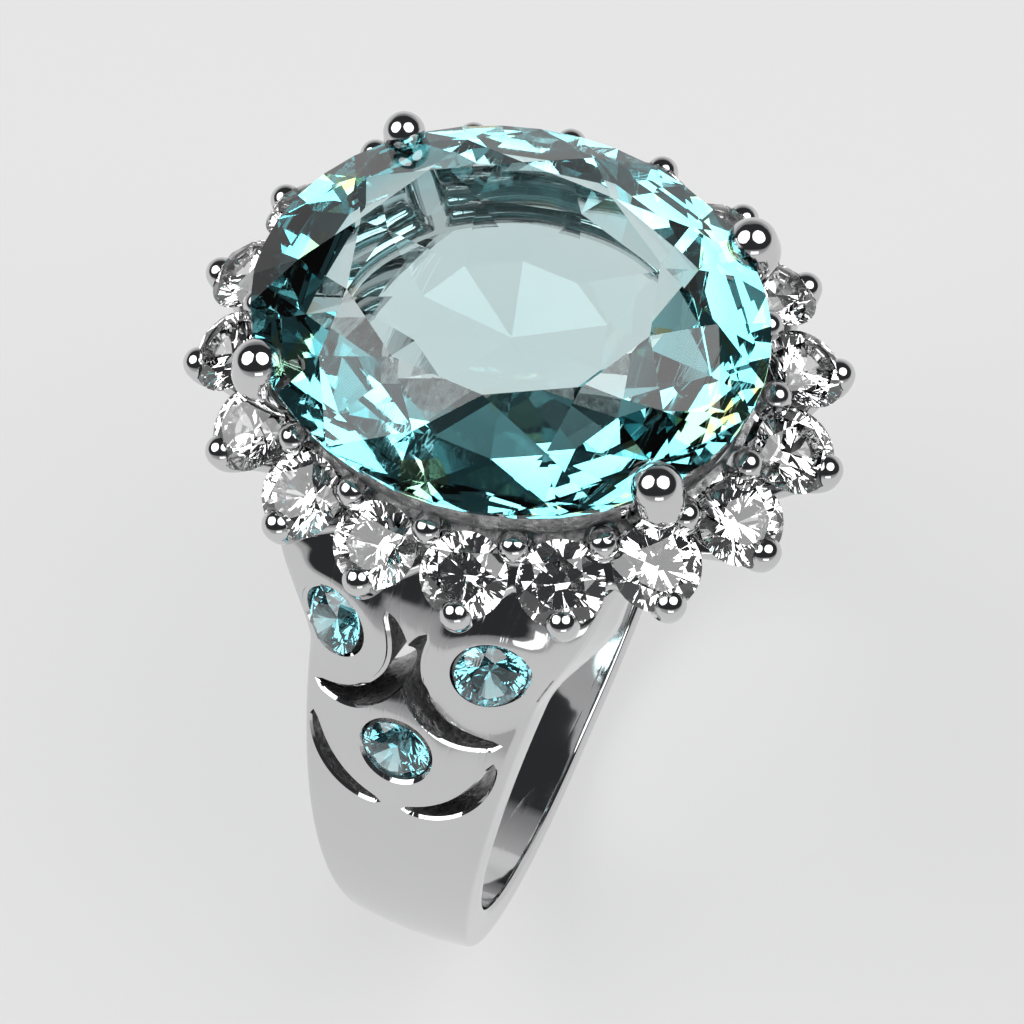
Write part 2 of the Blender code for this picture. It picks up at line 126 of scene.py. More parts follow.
# Centre. Each tier of the pavilion: share of the width, depth, corners to each fold, offset
OVAL = 1.2
GIRDLE_Z = 13.82
CENTRE_FOLDS = 10
CENTRE_GIRDLE = 0.03
CENTRE_TURN = math.radians(-6.0)
CENTRE_TIERS = ((0.84, 0.92, 2, 0.5), (0.66, 1.95, 1, 0.5), (0.38, 2.66, 1, 0.0))
CLAW_ANGLES = {(-1, -1): 41.0, (1, -1): 38.0, (1, 1): 42.0, (-1, 1): 46.0}
CLAW_PRESS = {(-1, 1): (0.955, 0.86)}   # one claw is pressed further in and filed slimmer
CLAW_STEPS = ((0.69, 9.95), (0.80, 11.2), (0.925, 12.4), (0.995, 13.1), (1.035, 13.75),
              (1.020, 14.25))
CLAW_RADII = (0.42, 0.44, 0.47, 0.50, 0.57, 0.58)
CLAW_TIP_STEP = 4             # from this step on, a claw can be pressed
CLAW_KEEP = 0.62              # the polished metal round the middle of each claw
COLLAR_HALF_WIDTH = 4.72
COLLAR_WALL = 0.75
COLLAR_Z = (12.35, 13.30)
# Heights where the collar takes the cast finish with its painted shade
CAST_SHADE_COLLAR_Z = (COLLAR_Z[0] - 0.1, COLLAR_Z[1] + 0.2)
RAIL_HALF_WIDTH = 3.45
RAIL_RADIUS = 0.38
RAIL_Z = 9.95

# Round stones, in shares of their radius
ROUND_FOLDS = 8
ROUND_CROWN = 0.31
ROUND_PAVILION = 0.86
ROUND_TABLE = 0.57
ROUND_KEEL = 0.24             # how far from the middle the small facets at the point reach

# Halo. The cup, claw and peg are drawn about their stone: +X outward, +Z up through the stone
HALO_COUNT = 18
HALO_Z = 11.85
HALO_SLOPE = math.radians(30.0)
CUP_STATIONS = ((-1.30, 1.10, -0.34, -0.60), (-1.10, 1.25, -0.34, -0.86),
                (-0.70, 1.30, -0.34, -1.02), (-0.20, 1.25, -0.34, -1.10),
                (0.15, 1.08, -0.34, -1.10), (0.40, 0.84, -0.36, -1.06),
                (0.65, 0.58, -0.38, -0.96), (0.88, 0.36, -0.42, -0.82),
                (1.02, 0.16, -0.48, -0.70))   # place outward, half width, top and bottom
HALO_CLAW = ((0.10, 0.0, -0.80), (0.62, 0.0, -0.68), (0.92, 0.0, -0.34), (0.86, 0.0, 0.02))
HALO_CLAW_RADII = (0.50, 0.46, 0.40, 0.40)
HALO_PEG = ((-0.82, 0.0, -0.60), (-0.82, 0.0, -0.10), (-0.82, 0.0, 0.04))
HALO_PEG_RADII = (0.42, 0.40, 0.39)
CAST_SHADE_HALO_REACH = 0.84        # inside this share of the halo's oval it is left as cast and painted darker as shade

# Casting: how finely overlapping bodies are melted together, and how long they are softened
MELT_GRAIN = 0.062
MELT_ROUNDS = 4
SEAT_ROOM = {"halo": 0.015, "centre": 0.012}   # clearance round the claw-set stones


def smooth_step(low, high, value):
    t = min(1.0, max(0.0, (value - low) / (high - low)))
    return t * t * (3.0 - 2.0 * t)


# ---------------------------------------------------------------- settings

def length_setting(name, description, default, low, high):
    """A length, given in millimetres and kept in metres."""
    return bpy.props.FloatProperty(name=name, description=description, default=default * MM,
                                   min=low * MM, max=high * MM, unit="LENGTH")


def colour_setting(name, description, default):
    return bpy.props.FloatVectorProperty(name=name, description=description, default=default,
                                         size=3, min=0.0, max=1.0, subtype="COLOR")


def strength_setting(name, description, default, high):
    return bpy.props.FloatProperty(name=name, description=description, default=default, min=0.0,
                                   max=high)


class RingSettings(bpy.types.PropertyGroup):
    """Sizes that a maker would change."""

    finger_radius: length_setting("Finger radius", "Radius of the finger hole", 8.53, 6.0, 12.0)
    centre_half_width: length_setting(
        "Centre stone half width", "Half the centre stone's shorter side", 5.0, 2.0, 8.0)
    centre_crown: length_setting(
        "Centre crown", "Height of the centre stone's table over its girdle", 1.55, 0.5, 3.0)
    centre_pavilion: length_setting(
        "Centre pavilion", "Depth of the centre stone below its girdle", 3.05, 1.0, 6.0)
    centre_table: bpy.props.FloatProperty(
        name="Centre table", description="Table's share of the centre stone's width",
        default=0.60, min=0.3, max=0.9, subtype="FACTOR")
    halo_half_length: length_setting(
        "Halo half length", "Half the longer axis of the oval of white stones", 6.85, 3.0, 12.0)
    halo_half_width: length_setting(
        "Halo half width", "Half the shorter axis of the oval of white stones", 5.60, 3.0, 12.0)
    halo_stone_radius: length_setting(
        "Halo stone radius", "Radius of each white stone", 1.00, 0.3, 2.0)
    shoulder_stone_radius: length_setting(
        "Shoulder stone radius", "Radius of each small blue stone", 0.84, 0.3, 2.0)


class FinishSettings(bpy.types.PropertyGroup):
    """Colours and finishes."""

    silver: colour_setting("Silver", "Colour of the plated silver", (0.67, 0.67, 0.675))
    centre_tint: colour_setting(
        "Centre tint", "Colour that the centre stone's depth takes on", (0.15, 0.87, 0.91))
    centre_depth: strength_setting(
        "Centre depth", "How strongly a metre of centre stone colours light", 56.0, 2000.0)
    shoulder_tint: colour_setting(
        "Shoulder tint", "Colour that the small blue stones' depth takes on", (0.06, 0.70, 0.78))
    shoulder_depth: strength_setting(
        "Shoulder depth", "How strongly a metre of small blue stone colours light", 760.0, 5000.0)
    floor: colour_setting("Floor", "Colour of the floor", (0.28, 0.28, 0.28))


def sizes():
    return bpy.context.scene.ring_sizes


def finishes():
    return bpy.context.scene.ring_finishes


def in_mm(value):
    return value / MM


# ---------------------------------------------------------------- mesh tools

def placed(name, content):
    """An object in the scene for a mesh, lamp or camera."""
    item = bpy.data.objects.new(name, content)
    bpy.context.scene.collection.objects.link(item)
    return item


def from_bmesh(name, bm, mesh=None):
    """An object from a finished bmesh, which is freed."""
    mesh = mesh or bpy.data.meshes.new(name)
    bm.to_mesh(mesh)
    bm.free()
    return placed(name, mesh)


def body(name, points, faces):
    """A mesh object from points in millimetres, with its faces pointing out."""
    mesh = bpy.data.meshes.new(name)
    mesh.from_pydata([tuple(point) for point in points], [], faces)
    bm = bmesh.new()
    bm.from_mesh(mesh)
    bmesh.ops.recalc_face_normals(bm, faces=bm.faces)
    return from_bmesh(name, bm, mesh)


def settle(item):
    """Apply an object's modifiers to its mesh."""
    bpy.context.view_layer.update()
    graph = bpy.context.evaluated_depsgraph_get()
    mesh = bpy.data.meshes.new_from_object(item.evaluated_get(graph))
    item.modifiers.clear()
    item.data = mesh
    return item


def remove(item):
    bpy.data.objects.remove(item, do_unlink=True)


def join(name, items):
    """One object from several bodies, which are removed."""
    bm = bmesh.new()
    for item in items:
        bm.from_mesh(item.data)
        remove(item)
    return from_bmesh(name, bm)


def carve(item, cutter):
    """Cut one closed body out of another, and remove the cutter."""
    modifier = item.modifiers.new("cut", "BOOLEAN")
    modifier.solver = "MANIFOLD"
    modifier.object = cutter
    settle(item)
    remove(cutter)
    return item


def cast(item):
    """Melt overlapping bodies into one skin with soft inner corners, as in a casting."""
    remesh = item.modifiers.new("melt", "REMESH")
    remesh.mode = "VOXEL"
    remesh.voxel_size = MELT_GRAIN
    soften = item.modifiers.new("soften", "SMOOTH")
    soften.factor = 0.5
    soften.iterations = MELT_ROUNDS
    return settle(item)


def smooth_path(points, steps):
    """A Catmull-Rom curve through points, with steps to each span."""
    points = [Vector(point) for point in points]
    ends = [2.0 * points[0] - points[1]] + points + [2.0 * points[-1] - points[-2]]
    path = []
    for a, b, c, d in zip(ends, ends[1:], ends[2:], ends[3:]):
        for k in range(steps):
            t = k / steps
            path.append(0.5 * (2.0 * b + (c - a) * t + (2.0 * a - 5.0 * b + 4.0 * c - d) * t * t
                               + (3.0 * b - 3.0 * c + d - a) * t ** 3))
    path.append(points[-1])
    return path


def rounded(turn, power):
    """A point of a rounded square of half width 1; a power of 1 makes it a circle."""
    return (math.copysign(abs(math.cos(turn)) ** power, math.cos(turn)),
            math.copysign(abs(math.sin(turn)) ** power, math.sin(turn)))


def rod(name, points, radii, steps=5, sides=20, dome=5):
    """A round rod through points, with a radius at each, ending in a dome at both ends."""
    path = smooth_path(points, steps)
    widths = [value.x for value in smooth_path([(radius, 0.0, 0.0) for radius in radii], steps)]
    first = (path[1] - path[0]).normalized()
    last = (path[-1] - path[-2]).normalized()
    rings = []
    for k in range(dome, 0, -1):
        angle = 0.5 * math.pi * k / (dome + 0.3)
        rings.append((path[0] - first * widths[0] * math.sin(angle), widths[0] * math.cos(angle)))
    rings += list(zip(path, widths))
    for k in range(1, dome + 1):
        angle = 0.5 * math.pi * k / (dome + 0.3)
        rings.append((path[-1] + last * widths[-1] * math.sin(angle), widths[-1] * math.cos(angle)))
    side = first.orthogonal().normalized()
    verts = []
    faces = []
    for k, (centre, width) in enumerate(rings):
        after = rings[min(k + 1, len(rings) - 1)][0]
        before = rings[max(k - 1, 0)][0]
        way = (after - before).normalized()
        side = (side - way * side.dot(way)).normalized()
        other = way.cross(side)
        for j in range(sides):
            turn = 2.0 * math.pi * j / sides
            verts.append(centre + (side * math.cos(turn) + other * math.sin(turn)) * width)
            if k:
                here = k * sides + j
                there = k * sides + (j + 1) % sides
                faces.append((here - sides, there - sides, there, here))
    faces.append(list(range(sides)))
    faces.append(list(range(len(verts) - 1, len(verts) - 1 - sides, -1)))
    return body(name, verts, faces)


def loft(name, sections, closed=False):
    """Skin a chain of closed sections, capped at both ends unless the chain is closed."""
    count = len(sections[0])
    verts = [point for section in sections for point in section]
    faces = []
    total = len(sections)
    for k in range(total if closed else total - 1):
        here = k * count
        there = (k + 1) % total * count
        for j in range(count):
            after = (j + 1) % count
            faces.append((here + j, here + after, there + after, there + j))
    if not closed:
        faces.append(list(range(count)))
        faces.append(list(range(len(verts) - count, len(verts))))
    return body(name, verts, faces)


def frame_matrix(place, facing, along=Vector((1.0, 0.0, 0.0))):
    """A frame at place whose Z axis is facing and whose X axis is as near along as it can be."""
    z_axis = Vector(facing).normalized()
    y_axis = z_axis.cross(Vector(along)).normalized()
    x_axis = y_axis.cross(z_axis)
    matrix = Matrix((x_axis, y_axis, z_axis)).transposed().to_4x4()
    matrix.translation = place
    return matrix


def finish(item, name, materials, nodes, sharp=None):
    """Bring a body to metres, give it its materials and fix it to the ring."""
    mesh = item.data
    mesh.transform(Matrix.Scale(MM, 4))
    item.name = name
    mesh.name = name
    indices = [polygon.material_index for polygon in mesh.polygons]
    mesh.materials.clear()
    for material in materials:
        mesh.materials.append(material)
    for polygon, index in zip(mesh.polygons, indices):
        polygon.material_index = min(index, len(materials) - 1)
    if sharp is None:
        mesh.shade_flat()
    else:
        mesh.shade_smooth()
        mesh.set_sharp_from_angle(angle=math.radians(sharp))
    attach(item, ROOT)
    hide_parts(*nodes)
    return item


# ---------------------------------------------------------------- shader tools

def shade(colour, share):
    """A colour with all its parts multiplied by a share."""
    return tuple(share * part for part in colour)


class ShaderTree:
    """A small hand for building node trees."""

    def __init__(self, tree):
        self.tree = tree
        self.tree.nodes.clear()

    def feed(self, node, values):
        """Link or set a node's inputs, by name or number."""
        for key, value in values.items():
            if isinstance(value, bpy.types.NodeSocket):
                self.tree.links.new(value, node.inputs[key])
            else:
                node.inputs[key].default_value = value

    def node(self, kind, values=None, **properties):
        node = self.tree.nodes.new(kind)
        for key, value in properties.items():
            setattr(node, key, value)
        self.feed(node, values or {})
        return node

    def place(self):
        """Where a point is on the ring, in metres."""
        return self.node("ShaderNodeTexCoord").outputs["Object"]

    def maths(self, operation, first, second=0.0):
        return self.node("ShaderNodeMath", {0: first, 1: second}, operation=operation).outputs[0]

    def ramp(self, value, low, high, out_low=0.0, out_high=1.0):
        node = self.node("ShaderNodeMapRange", {
            "Value": value, "From Min": low, "From Max": high, "To Min": out_low,
            "To Max": out_high})
        return node.outputs["Result"]

    def mix(self, factor, first, second):
        """Blend one colour into another. Each is three numbers or a socket."""
        ends = [end if isinstance(end, bpy.types.NodeSocket) else (*end, 1.0)
                for end in (first, second)]
        node = self.node("ShaderNodeMix", {"Factor": factor, 6: ends[0], 7: ends[1]},
                         data_type="RGBA")
        return node.outputs[2]

    def bump(self, height, strength, distance):
        return self.node("ShaderNodeBump", {"Height": height, "Strength": strength,
                                            "Distance": distance}).outputs[0]

    def group(self, tree, **values):
        node = self.node("ShaderNodeGroup", None, node_tree=tree)
        self.feed(node, values)
        return node.outputs


def new_group(name, inputs, outputs):
    """An empty shader node group with named inputs (name, kind, default) and outputs."""
    tree = bpy.data.node_groups.new(name, "ShaderNodeTree")
    for label, kind, default in inputs:
        socket = tree.interface.new_socket(label, in_out="INPUT", socket_type="NodeSocket" + kind)
        socket.default_value = default
    for label, kind in outputs:
        tree.interface.new_socket(label, in_out="OUTPUT", socket_type="NodeSocket" + kind)
    hand = ShaderTree(tree)
    return hand, hand.node("NodeGroupInput").outputs, hand.node("NodeGroupOutput")


# Hairlines: the slants of the bundles, and where a bundle's gate opens so that each line ends
SLANTS = ((0.3, 0.2, 0.5), (1.1, 0.4, 2.3), (0.2, 1.3, 1.4), (0.9, 2.0, 0.1))
LINE_STRETCH = (1.0, 0.06, 0.06)
LINE_GATE = (0.56, 0.64)


def scratch_group():
    """Hairline scratches: thin lines at several slants, as a mask from 0 to 1."""
    hand, given, result = new_group("hairline_scratches", (
        ("Scale", "Float", 900.0), ("Thinness", "Float", 0.035), ("Amount", "Float", 0.5)),
        (("Mask", "Float"),))
    place = hand.place()
    total = None
    for k, slant in enumerate(SLANTS):
        turned = hand.node("ShaderNodeMapping", {
            "Vector": place, "Rotation": slant, "Location": (0.013 * k, 0.007 * k, 0.0),
            "Scale": LINE_STRETCH}).outputs[0]
        lines = hand.node("ShaderNodeTexNoise", {
            "Vector": turned, "Scale": given["Scale"], "Detail": 2.0, "Roughness": 0.6})
        off = hand.maths("ABSOLUTE", hand.maths("SUBTRACT", lines.outputs["Fac"], 0.5))
        line = hand.ramp(off, 0.0, given["Thinness"], 1.0, 0.0)
        gate = hand.node("ShaderNodeTexNoise", {
            "Vector": turned, "Scale": hand.maths("MULTIPLY", given["Scale"], 0.4),
            "Detail": 0.0})
        line = hand.maths("MULTIPLY", line, hand.ramp(gate.outputs["Fac"], *LINE_GATE))
        total = line if total is None else hand.maths("MAXIMUM", total, line)
    hand.feed(result, {"Mask": hand.maths("MULTIPLY", total, given["Amount"])})
    return hand.tree


def grain_group():
    """Cast grain: the lumpy height of metal as it comes from the mould."""
    hand, given, result = new_group("cast_grain", (
        ("Scale", "Float", 5000.0), ("Lumps", "Float", 0.6)), (("Height", "Float"),))
    place = hand.place()
    lumps = hand.node("ShaderNodeTexVoronoi", {"Vector": place, "Scale": given["Scale"]},
                      feature="SMOOTH_F1")
    fine = hand.node("ShaderNodeTexNoise", {
        "Vector": place, "Scale": hand.maths("MULTIPLY", given["Scale"], 1.7), "Detail": 4.0,
        "Roughness": 0.65})
    lumpy = hand.maths("MULTIPLY", lumps.outputs["Distance"], given["Lumps"])
    hand.feed(result, {"Height": hand.maths("ADD", lumpy, fine.outputs["Fac"])})
    return hand.tree


def fire_group():
    """Fire: a few small patches where a facet splits the light, as a mask and a warm colour."""
    hand, given, result = new_group("fire_flecks", (
        ("Scale", "Float", 800.0), ("Rarity", "Float", 0.9)),
        (("Mask", "Float"), ("Tint", "Color")))
    cells = hand.node("ShaderNodeTexVoronoi", {"Vector": hand.place(), "Scale": given["Scale"]})
    chance = hand.node("ShaderNodeSeparateColor", {"Color": cells.outputs["Color"]}).outputs
    hand.feed(result, {
        "Mask": hand.maths("GREATER_THAN", chance["Red"], given["Rarity"]),
        "Tint": hand.mix(chance["Green"], (1.0, 0.42, 0.12), (1.0, 0.86, 0.35))})
    return hand.tree


def new_material(name):
    material = bpy.data.materials.new(name)
    material.use_nodes = True
    hand = ShaderTree(material.node_tree)
    shader = hand.node("ShaderNodeBsdfPrincipled")
    output = hand.node("ShaderNodeOutputMaterial", {"Surface": shader.outputs[0]})
    return material, hand, shader, output


def polished_silver(groups):
    """Bright plated silver: nearly a mirror, with handling scratches and a slow unevenness."""
    material, hand, shader, _ = new_material("polished_silver")
    silver = finishes().silver
    slow = hand.node("ShaderNodeTexNoise", {"Vector": hand.place(), "Scale": 420.0,
                                            "Detail": 3.0}).outputs["Fac"]
    mask = hand.group(groups["scratches"], Scale=1300.0, Thinness=0.02, Amount=1.0)["Mask"]
    height = hand.maths("SUBTRACT", hand.maths("MULTIPLY", slow, 0.6),
                        hand.maths("MULTIPLY", mask, 0.12))
    hand.feed(shader, {
        "Metallic": 1.0, "Base Color": hand.mix(slow, shade(silver, 0.93), silver),
        "Roughness": hand.maths("ADD", hand.ramp(slow, 0.3, 0.7, 0.035, 0.085),
                                hand.maths("MULTIPLY", mask, 0.08)),
        "Normal": hand.bump(height, 0.16, 0.00012)})
    return material


def cast_silver_with_painted_shade(groups):
    """Silver as it was cast, where no polishing wheel reaches: dull and lumpy, and painted darker
    as shade.
    """
    material, hand, shader, _ = new_material("cast_silver_with_painted_shade")
    silver = finishes().silver
    height = hand.group(groups["grain"], Scale=5200.0, Lumps=0.8)["Height"]
    # Painted shade: the colour drops to between a quarter and four fifths of the silver, for the
    # shade in hollows and under the stones; the lumps and dull roughness are the cast grain.
    hand.feed(shader, {
        "Metallic": 1.0,
        "Base Color": hand.mix(hand.ramp(height, 0.5, 1.2), shade(silver, 0.26),
                               shade(silver, 0.80)),
        "Roughness": hand.ramp(height, 0.4, 1.2, 0.42, 0.22),
        "Normal": hand.bump(height, 0.7, 0.00006)})
    return material


RIM_TINT = (0.34, 0.81, 0.86)
RIM_REACH = (0.60, 0.84)      # shares of the centre stone's half width over which it deepens
FIRE_REACH = (0.55, 0.70)


def stone_material(name, groups, colour, ior, tint=None, depth=0.0, wear=0.5, rim=None):
    """Clear cut stone, coloured by its depth, with polishing lines on its facets.

    rim deepens the colour towards the girdle of the centre stone, where light goes farthest.
    """
    material, hand, shader, output = new_material(name)
    place = hand.place()
    cloud = hand.node("ShaderNodeTexNoise", {"Vector": place, "Scale": 260.0, "Detail": 1.0})
    tone = hand.mix(cloud.outputs["Fac"], shade(colour, 0.985), colour)
    if rim is not None:
        half = sizes().centre_half_width
        flat = hand.node("ShaderNodeMapping", {
            "Vector": place, "Scale": (1.0 / (OVAL * half), 1.0 / half, 0.0)})
        reach = hand.node("ShaderNodeVectorMath", {0: flat.outputs[0]},
                          operation="LENGTH").outputs["Value"]
        tone = hand.mix(hand.ramp(reach, *RIM_REACH), tone, rim)
        fire = hand.group(groups["fire"], Scale=1100.0, Rarity=0.93)
        near_rim = hand.ramp(reach, *FIRE_REACH)
        tone = hand.mix(hand.maths("MULTIPLY", fire["Mask"], near_rim), tone, fire["Tint"])
    mask = hand.group(groups["scratches"], Scale=1500.0, Thinness=0.008, Amount=wear)["Mask"]
    hand.feed(shader, {
        "Metallic": 0.0, "Transmission Weight": 1.0, "IOR": ior, "Base Color": tone,
        "Roughness": hand.maths("MULTIPLY", mask, 0.25),
        "Normal": hand.bump(mask, 0.02, 0.00001)})
    if tint is not None:
        inside = hand.node("ShaderNodeVolumeAbsorption", {"Color": (*tint, 1.0),
                                                          "Density": depth})
        hand.feed(output, {"Volume": inside.outputs[0]})
    return material


MATERIALS = {}


def make_materials():
    groups = {"scratches": scratch_group(), "grain": grain_group(), "fire": fire_group()}
    look = finishes()
    MATERIALS["silver"] = polished_silver(groups)
    # The cast finish is dull, lumpy silver whose colour is painted darker as shade.
    MATERIALS["cast"] = cast_silver_with_painted_shade(groups)
    MATERIALS["centre"] = stone_material("blue_stone", groups, (0.97, 1.0, 1.0), 1.64,
                                         look.centre_tint, look.centre_depth, 0.5,
                                         rim=RIM_TINT)
    MATERIALS["shoulder"] = stone_material("small_blue_stone", groups, (0.95, 1.0, 1.0), 1.95,
                                           look.shoulder_tint, look.shoulder_depth, 0.3)
    MATERIALS["white"] = stone_material("white_stone", groups, (0.99, 0.99, 0.985), 1.92,
                                        wear=0.2)


# ---------------------------------------------------------------- cut stones

def brilliant(name, half_width, crown, pavilion, table, folds, tiers, oval=1.0, girdle=0.04,
              turn=0.0, grow=0.0):
    """A brilliant-cut stone about its own girdle plane: the hull of its facet corners.

    folds is the number of kite facets. Each kite reaches from a table corner to the girdle, and
    the pavilion comes down in tiers to the culet.
    """
    step = 2.0 * math.pi / folds
    half_girdle = 0.5 * girdle * half_width
    swell = 1.0 + grow / half_width
    points = []

    def ring(count, radius, height, offset=0.0):
        for k in range(count):
            angle = 2.0 * math.pi * (k + offset) / count + turn
            points.append(Vector((oval * radius * math.cos(angle), radius * math.sin(angle),
                                  height)))

    ring(folds, table * half_width, crown + half_girdle)
    kite = 0.5 * (1.0 + table)
    drop = (1.0 - kite * math.cos(0.5 * step)) / (1.0 - table)
    ring(folds, kite * half_width, crown * drop + half_girdle, 0.5)
    ring(4 * folds, half_width, half_girdle)
    ring(4 * folds, half_width, -half_girdle)
    for share, depth, corners, offset in tiers:
        ring(corners * folds, share * half_width, -half_girdle - depth, offset)
    points.append(Vector((0.0, 0.0, -half_girdle - pavilion)))
    bm = bmesh.new()
    for point in points:
        bm.verts.new(point * swell)
    hull = bmesh.ops.convex_hull(bm, input=bm.verts)
    spare = list(set(hull["geom_unused"] + hull["geom_interior"]))
    bmesh.ops.delete(bm, geom=spare, context="VERTS")
    bmesh.ops.dissolve_limit(bm, angle_limit=math.radians(0.4), verts=bm.verts, edges=bm.edges)
    bmesh.ops.recalc_face_normals(bm, faces=bm.faces)
    return from_bmesh(name, bm)


def centre_cut(name, grow=0.0):
    size = sizes()
    item = brilliant(name, in_mm(size.centre_half_width), in_mm(size.centre_crown),
                     in_mm(size.centre_pavilion), size.centre_table, CENTRE_FOLDS, CENTRE_TIERS,
                     OVAL, CENTRE_GIRDLE, CENTRE_TURN, grow)
    item.data.transform(Matrix.Translation((0.0, 0.0, GIRDLE_Z)))
    return item


def round_cut(name, radius, matrix=None, grow=0.0):
    keel_depth = ROUND_PAVILION * radius * (1.0 - ROUND_KEEL * math.cos(math.pi / ROUND_FOLDS))
    item = brilliant(name, radius, ROUND_CROWN * radius, ROUND_PAVILION * radius, ROUND_TABLE,
                     ROUND_FOLDS, ((ROUND_KEEL, keel_depth, 1, 0.5),), grow=grow)
    if matrix is not None:
        item.data.transform(matrix)
    return item


# ---------------------------------------------------------------- copies round an oval

def oval_copies_tree():
    """Geometry nodes that set copies of a shape at equal steps round a tilted oval."""
    tree = bpy.data.node_groups.new("copies_round_an_oval", "GeometryNodeTree")
    inputs = (("Geometry", "Geometry"), ("Copies", "Int"), ("Half Length", "Float"),
              ("Half Width", "Float"), ("Height", "Float"), ("Slope", "Float"),
              ("Between", "Int"), ("Random Turn", "Float"), ("Seed", "Int"),
              ("Material", "Material"))
    for label, kind in inputs:
        tree.interface.new_socket(label, in_out="INPUT", socket_type="NodeSocket" + kind)
    tree.interface.new_socket("Geometry", in_out="OUTPUT", socket_type="NodeSocketGeometry")
    hand = ShaderTree(tree)
    given = hand.node("NodeGroupInput").outputs
    half_length, half_width = given["Half Length"], given["Half Width"]
    circle = hand.node("GeometryNodeCurvePrimitiveCircle", {"Resolution": 720, "Radius": 1.0})
    scale = hand.node("ShaderNodeCombineXYZ", {"X": half_length, "Y": half_width, "Z": 1.0})
    lift = hand.node("ShaderNodeCombineXYZ", {"Z": given["Height"]})
    oval = hand.node("GeometryNodeTransform", {
        "Geometry": circle.outputs["Curve"], "Translation": lift.outputs[0],
        "Scale": scale.outputs[0]})
    doubled = hand.node("FunctionNodeIntegerMath", {0: given["Copies"], 1: 2},
                        operation="MULTIPLY")
    spaced = hand.node("GeometryNodeResampleCurve", {
        "Curve": oval.outputs["Geometry"], "Count": doubled.outputs[0]})
    index = hand.node("GeometryNodeInputIndex")
    parity = hand.node("FunctionNodeIntegerMath", {0: index.outputs[0], 1: 2}, operation="MODULO")
    chosen = hand.node("FunctionNodeCompare", {2: parity.outputs[0], 3: given["Between"]},
                       data_type="INT", operation="EQUAL")
    place = hand.node("GeometryNodeInputPosition")
    squares = hand.node("ShaderNodeCombineXYZ", {
        "X": hand.maths("MULTIPLY", half_length, half_length),
        "Y": hand.maths("MULTIPLY", half_width, half_width), "Z": 1.0e9})
    outward = hand.node("ShaderNodeVectorMath", {0: place.outputs[0], 1: squares.outputs[0]},
                        operation="DIVIDE")
    upright = hand.node("FunctionNodeAxesToRotation", {
        "Primary Axis": (0.0, 0.0, 1.0), "Secondary Axis": outward.outputs[0]},
        primary_axis="Z", secondary_axis="X")
    tilt = hand.node("ShaderNodeCombineXYZ", {"Y": given["Slope"]})
    tilted = hand.node("FunctionNodeRotateRotation", {
        "Rotation": upright.outputs[0], "Rotate By": tilt.outputs[0]}, rotation_space="LOCAL")
    chance = hand.node("FunctionNodeRandomValue", {
        "Max": given["Random Turn"], "Seed": given["Seed"]}, data_type="FLOAT")
    spin = hand.node("ShaderNodeCombineXYZ", {"Z": chance.outputs[1]})
    turned = hand.node("FunctionNodeRotateRotation", {
        "Rotation": tilted.outputs[0], "Rotate By": spin.outputs[0]}, rotation_space="LOCAL")
    copies = hand.node("GeometryNodeInstanceOnPoints", {
        "Points": spaced.outputs[0], "Selection": chosen.outputs[0],
        "Instance": given["Geometry"], "Rotation": turned.outputs[0]})
    real = hand.node("GeometryNodeRealizeInstances", {"Geometry": copies.outputs[0]})
    skinned = hand.node("GeometryNodeSetMaterial", {
        "Geometry": real.outputs[0], "Material": given["Material"]})
    hand.node("NodeGroupOutput", {"Geometry": skinned.outputs[0]})
    return tree


def round_the_halo(item, between=0, random_turn=0.0, material=None):
    """Repeat a shape eighteen times round the halo's oval."""
    name = "copies_round_an_oval"
    tree = bpy.data.node_groups.get(name) or oval_copies_tree()
    modifier = item.modifiers.new(name, "NODES")
    modifier.node_group = tree
    size = sizes()
    values = {"Copies": HALO_COUNT, "Half Length": in_mm(size.halo_half_length),
              "Half Width": in_mm(size.halo_half_width), "Height": HALO_Z, "Slope": HALO_SLOPE,
              "Between": between, "Random Turn": random_turn, "Seed": 7,
              "Material": material or MATERIALS["silver"]}
    for socket in tree.interface.items_tree:
        if socket.in_out == "INPUT" and socket.name in values:
            modifier[socket.identifier] = values[socket.name]
    return settle(item)


# ---------------------------------------------------------------- band

def half_width_at(angle):
    share = min(angle, SHOULDER_END) / SHOULDER_ANGLE
    heel = smooth_step(HEEL_START, SHOULDER_END, angle)
    return HALF_WIDTH + FLARE * share ** FLARE_POWER + HEEL_FLARE * heel


def band_radius(angle, across):
    """Outer radius at an angle from the bottom and a share, -1 to 1, of the half width."""
    rim = WALL_BOTTOM + WALL_RISE * (angle / SHOULDER_ANGLE) ** 2
    heel = smooth_step(HEEL_START, SHOULDER_END, angle)
    rim += HEEL_RISE * heel
    rise = max(0.0, min(angle, SHOULDER_END) - CROWN_START) / (SHOULDER_END - CROWN_START)
    crown = SHOULDER_CROWN * rise ** CROWN_POWER * (1.0 - HEEL_FLATTENING * heel) + SOFT_CROWN
    wall = rim + crown * (1.0 - across * across)
    bridge = smooth_step(SHOULDER_END, BRIDGE_ANGLE, angle)
    return in_mm(sizes().finger_radius) + wall * (1.0 - bridge) + BRIDGE_WALL * bridge


def band_point(angle, radius, along, side):
    """A point of the band; side -1 is the front half of the ring and 1 the back half."""
    turn = math.radians(angle)
    return Vector((along, side * radius * math.sin(turn), -radius * math.cos(turn)))


